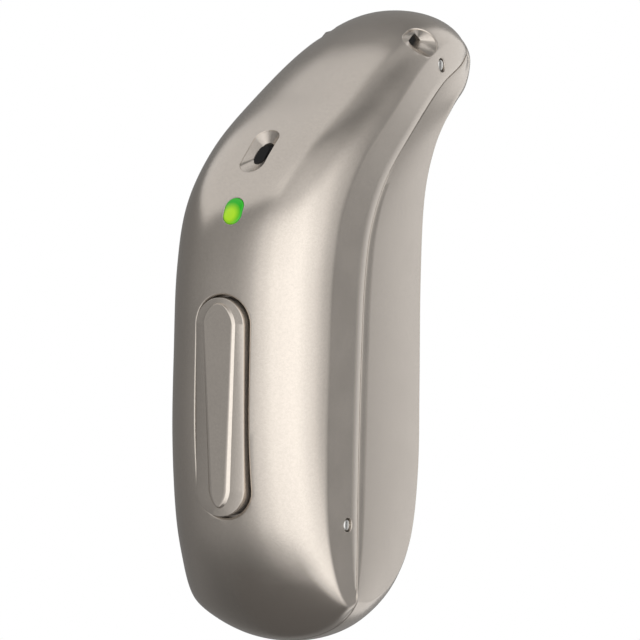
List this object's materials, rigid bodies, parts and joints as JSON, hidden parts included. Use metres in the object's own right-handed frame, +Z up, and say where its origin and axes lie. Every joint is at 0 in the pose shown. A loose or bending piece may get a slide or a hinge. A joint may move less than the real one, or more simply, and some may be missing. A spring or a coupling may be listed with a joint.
{
  "type": "behind the ear hearing aid",
  "caption": "Bent two-shell hearing aid worn behind the ear, with a rocker button, microphones, indicator light, rechargeable cell and a socket for a speaker lead in its nose.",
  "frame": {"origin": "middle of the concave side, at the point that sits on the root of the ear", "axes": "+Z up as worn, -Y out of the spine that carries the button, +X across the thickness towards one cheek"},
  "size_m": [0.009, 0.0216, 0.0314],
  "materials": {
    "shell_paint": "satin metallic lacquer on moulded plastic",
    "pin_steel": "bright turned steel",
    "switch_plastic": "matt",
    "flex_film": "semi-gloss",
    "light_lens": "gloss, translucent",
    "led_package": "matt",
    "microphone_can": "gold plated",
    "seal_rubber": "matt",
    "screen_mesh": "woven mesh",
    "frame_plastic": "matt",
    "board_laminate": "solder mask",
    "chip_resin": "matt",
    "ceramic_parts": "satin",
    "copper": "enamelled copper",
    "cell_steel": "nickel plated",
    "ferrite": "matt",
    "socket_plastic": "satin",
    "contact_gold": "gold plated"
  },
  "bodies": {
    "housing": {"spine_cover": "shell_paint", "base_shell": "shell_paint", "rocker_axle": "pin_steel", "upper_switch": "switch_plastic", "lower_switch": "switch_plastic", "snap_domes": "pin_steel", "switch_board": "flex_film", "light_guide": "light_lens", "indicator_led": "led_package", "rear_microphone": "microphone_can", "front_microphone": "microphone_can", "microphone_gaskets": "seal_rubber", "inlet_screens": "screen_mesh", "inner_frame": "frame_plastic", "main_board": "board_laminate", "signal_processor": "chip_resin", "radio_chip": "chip_resin", "charge_controller": "chip_resin", "board_components": "ceramic_parts", "antenna": "copper", "telecoil": "copper", "battery_cell": "cell_steel", "battery_tabs": "cell_steel", "charging_coil": "copper", "ferrite_sheet": "ferrite", "speaker_socket": "socket_plastic", "socket_contacts": "contact_gold", "socket_seal": "seal_rubber", "base_pins": "pin_steel"},
    "button": {"rocker_button": "shell_paint"},
    "lock_pin": {"speaker_lock_pin": "pin_steel"}
  },
  "joints": [
    {"name": "button_rock", "type": "hinge", "parent": "housing", "child": "button", "pos_m": [0, -0.01192, -0.01131], "axis": [1, 0, 0], "range_deg": [-2, 2], "stiffness_Nm_per_rad": 0.05, "deforming": ["snap_domes"]},
    {"name": "lock_pin_slide", "type": "slide", "parent": "housing", "child": "lock_pin", "axis": [1, 0, 0], "range_m": [0, 0.0045]}
  ]
}
